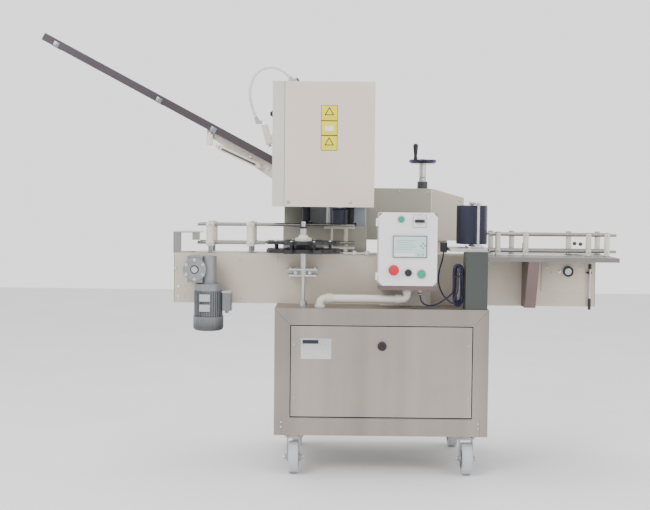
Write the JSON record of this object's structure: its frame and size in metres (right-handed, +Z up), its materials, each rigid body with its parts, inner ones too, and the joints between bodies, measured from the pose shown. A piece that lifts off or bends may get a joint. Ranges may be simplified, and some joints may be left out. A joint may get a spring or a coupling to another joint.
{
  "type": "inline bottle capping machine",
  "caption": "Castered cabinet with a slat-chain conveyor, star wheel, height-adjustable capping head, inclined cap chute and operator box.",
  "frame": {"origin": "on the floor under the middle of the cabinet", "axes": "+X along the conveyor in the bottles' direction, +Y to the back of the machine, +Z up"},
  "size_m": [2.327, 0.6755, 1.7313],
  "materials": {
    "stainless": "brushed",
    "painted_beige": "satin",
    "machined_steel": "machined",
    "black_steel": "blackened",
    "machined_alloy": "cast and machined",
    "chute_steel": "brushed",
    "chain_plastic": "matte",
    "black_plastic": "matte",
    "white_plastic": "matte",
    "white_paint": "satin",
    "grey_plastic": "matte",
    "red_plastic": "gloss",
    "green_plastic": "gloss",
    "roller_coat": "satin",
    "column_paint": "satin",
    "zinc": "zinc plated",
    "hose_plastic": "translucent",
    "cable_jacket": "matte",
    "caster_tread": "smooth"
  },
  "bodies": {
    "root": {"bottle_sensor": "black_plastic", "cabinet_frame": "stainless", "cabinet_panels": "stainless", "cable_hank": "cable_jacket", "caster_plates": "zinc", "conduit": "grey_plastic", "control_box": "white_paint", "control_bracket": "stainless", "conveyor_crossbars": "stainless", "conveyor_panels": "painted_beige", "gearbox_housing": "machined_alloy", "guide_columns": "black_steel", "guide_rails": "stainless", "index_gearbox": "machined_alloy", "motor_housing": "machined_alloy", "outfeed_table": "stainless", "rail_posts": "white_plastic", "rear_housing": "painted_beige", "roller_column": "column_paint", "roller_plate": "stainless", "sensor_cable": "cable_jacket", "shaft_bearings": "stainless", "slat_chain": "chain_plastic", "tower_base": "painted_beige"},
    "head": {"head_box": "painted_beige", "head_cover": "painted_beige", "head_carriage": "machined_alloy", "feed_chute": "chute_steel", "chute_bracket": "painted_beige", "stop_cylinder": "white_plastic", "hose_fittings": "machined_alloy", "air_hose": "hose_plastic"},
    "quill": {"spindle_quill": "machined_steel"},
    "chuck": {"capping_chuck": "black_steel"},
    "stop_rod": {"stop_rod": "zinc"},
    "handwheel": {"handwheel": "machined_steel"},
    "grip": {"handwheel_grip": "black_plastic"},
    "lift_screw": {"lift_screw": "machined_steel"},
    "flap": {"flap_door": "stainless"},
    "lock": {"door_lock": "black_plastic"},
    "drive_shaft": {"drive_shaft": "machined_steel"},
    "idler_shaft": {"idler_shaft": "machined_steel"},
    "motor_rotor": {"motor_rotor": "machined_steel"},
    "star": {"star_wheel": "black_plastic"},
    "roller_arm": {"roller_arm": "stainless"},
    "press_roller": {"press_roller": "roller_coat"},
    "lid": {"box_lid": "white_paint"},
    "switch": {"main_switch": "black_plastic"},
    "stop_button": {"stop_button": "red_plastic"},
    "black_button": {"black_button": "black_plastic"},
    "green_button": {"green_button": "green_plastic"},
    "start_button": {"start_button": "green_plastic"},
    "fork_front_left": {"caster_fork_front_left": "zinc"},
    "wheel_front_left": {"caster_wheel_front_left": "caster_tread"},
    "fork_front_right": {"caster_fork_front_right": "zinc"},
    "wheel_front_right": {"caster_wheel_front_right": "caster_tread"},
    "fork_rear_left": {"caster_fork_rear_left": "zinc"},
    "wheel_rear_left": {"caster_wheel_rear_left": "caster_tread"},
    "fork_rear_right": {"caster_fork_rear_right": "zinc"},
    "wheel_rear_right": {"caster_wheel_rear_right": "caster_tread"}
  },
  "joints": [
    {"name": "head_lift", "type": "slide", "parent": "root", "child": "head", "axis": [0, 0, 1], "range_m": [-0.04, 0.1]},
    {"name": "spindle_stroke", "type": "slide", "parent": "head", "child": "quill", "axis": [0, 0, 1], "range_m": [-0.045, 0]},
    {"name": "chuck_spin", "type": "hinge", "parent": "quill", "child": "chuck", "pos_m": [-0.166, -0.045, 1], "axis": [0, 0, 1], "continuous": true},
    {"name": "cap_stop", "type": "slide", "parent": "head", "child": "stop_rod", "axis": [0.2588, 0, -0.9659], "range_m": [0, 0.07]},
    {"name": "handwheel_turn", "type": "hinge", "parent": "root", "child": "handwheel", "pos_m": [0.195, 0.25, 1.238], "axis": [0, 0, 1], "range_deg": [-1440, 3600]},
    {"name": "lift_screw_turn", "type": "hinge", "parent": "root", "child": "lift_screw", "pos_m": [-0.212, 0.1, 1.1], "axis": [0, 0, 1], "range_deg": [-1440, 3600]},
    {"name": "grip_spin", "type": "hinge", "parent": "handwheel", "child": "grip", "pos_m": [0.16106, 0.21606, 1.28], "axis": [0, 0, 1], "continuous": true},
    {"name": "flap_open", "type": "hinge", "parent": "root", "child": "flap", "pos_m": [0, -0.319, 0.2325], "axis": [1, 0, 0], "range_deg": [0, 90]},
    {"name": "lock_turn", "type": "hinge", "parent": "flap", "child": "lock", "pos_m": [0.002, -0.325, 0.506], "axis": [0, 1, 0], "range_deg": [0, 90]},
    {"name": "drive_spin", "type": "hinge", "parent": "root", "child": "drive_shaft", "pos_m": [-0.734, -0.045, 0.791], "axis": [0, 1, 0], "continuous": true},
    {"name": "idler_spin", "type": "hinge", "parent": "root", "child": "idler_shaft", "pos_m": [0.755, -0.045, 0.791], "axis": [0, 1, 0], "continuous": true},
    {"name": "motor_spin", "type": "hinge", "parent": "root", "child": "motor_rotor", "pos_m": [-0.684, -0.2, 0.65], "axis": [0, 0, 1], "continuous": true},
    {"name": "star_spin", "type": "hinge", "parent": "root", "child": "star", "pos_m": [-0.309, -0.195, 0.88], "axis": [0, 0, 1], "continuous": true},
    {"name": "roller_swing", "type": "hinge", "parent": "root", "child": "roller_arm", "pos_m": [0.376, -0.25, 0.95], "axis": [0, 0, 1], "range_deg": [-8, 8]},
    {"name": "roller_spin", "type": "hinge", "parent": "roller_arm", "child": "press_roller", "pos_m": [0.363, -0.15, 0.95], "axis": [0, 0, 1], "continuous": true},
    {"name": "lid_open", "type": "hinge", "parent": "root", "child": "lid", "pos_m": [-0.021, -0.29, 0.88], "axis": [0, 0, -1], "range_deg": [0, 110]},
    {"name": "switch_turn", "type": "hinge", "parent": "lid", "child": "switch", "pos_m": [0.142, -0.3, 0.991], "axis": [0, 1, 0], "range_deg": [0, 90]},
    {"name": "stop_button_press", "type": "slide", "parent": "lid", "child": "stop_button", "axis": [0, 1, 0], "range_m": [0, 0.006], "stiffness_N_per_m": 400, "springref_m": -0.005},
    {"name": "black_button_press", "type": "slide", "parent": "lid", "child": "black_button", "axis": [0, 1, 0], "range_m": [0, 0.004], "stiffness_N_per_m": 400, "springref_m": -0.005},
    {"name": "green_button_press", "type": "slide", "parent": "lid", "child": "green_button", "axis": [0, 1, 0], "range_m": [0, 0.004], "stiffness_N_per_m": 400, "springref_m": -0.005},
    {"name": "start_button_press", "type": "slide", "parent": "lid", "child": "start_button", "axis": [0, 1, 0], "range_m": [0, 0.004], "stiffness_N_per_m": 400, "springref_m": -0.005},
    {"name": "caster_swivel_front_left", "type": "hinge", "parent": "root", "child": "fork_front_left", "pos_m": [-0.338, -0.26, 0.145], "axis": [0, 0, 1], "continuous": true},
    {"name": "caster_roll_front_left", "type": "hinge", "parent": "fork_front_left", "child": "wheel_front_left", "pos_m": [-0.338, -0.288, 0.0625], "axis": [1, 0, 0], "continuous": true},
    {"name": "caster_swivel_front_right", "type": "hinge", "parent": "root", "child": "fork_front_right", "pos_m": [0.338, -0.26, 0.145], "axis": [0, 0, 1], "continuous": true},
    {"name": "caster_roll_front_right", "type": "hinge", "parent": "fork_front_right", "child": "wheel_front_right", "pos_m": [0.338, -0.288, 0.0625], "axis": [1, 0, 0], "continuous": true},
    {"name": "caster_swivel_rear_left", "type": "hinge", "parent": "root", "child": "fork_rear_left", "pos_m": [-0.338, 0.26, 0.145], "axis": [0, 0, 1], "continuous": true},
    {"name": "caster_roll_rear_left", "type": "hinge", "parent": "fork_rear_left", "child": "wheel_rear_left", "pos_m": [-0.338, 0.232, 0.0625], "axis": [1, 0, 0], "continuous": true},
    {"name": "caster_swivel_rear_right", "type": "hinge", "parent": "root", "child": "fork_rear_right", "pos_m": [0.338, 0.26, 0.145], "axis": [0, 0, 1], "continuous": true},
    {"name": "caster_roll_rear_right", "type": "hinge", "parent": "fork_rear_right", "child": "wheel_rear_right", "pos_m": [0.338, 0.232, 0.0625], "axis": [1, 0, 0], "continuous": true}
  ],
  "couplings": [
    {"joint": "handwheel_turn", "follows": "head_lift", "rad_per_m": 628.32},
    {"joint": "lift_screw_turn", "follows": "head_lift", "rad_per_m": 628.32},
    {"joint": "idler_spin", "follows": "drive_spin", "ratio": 1},
    {"joint": "motor_spin", "follows": "drive_spin", "ratio": 20}
  ]
}
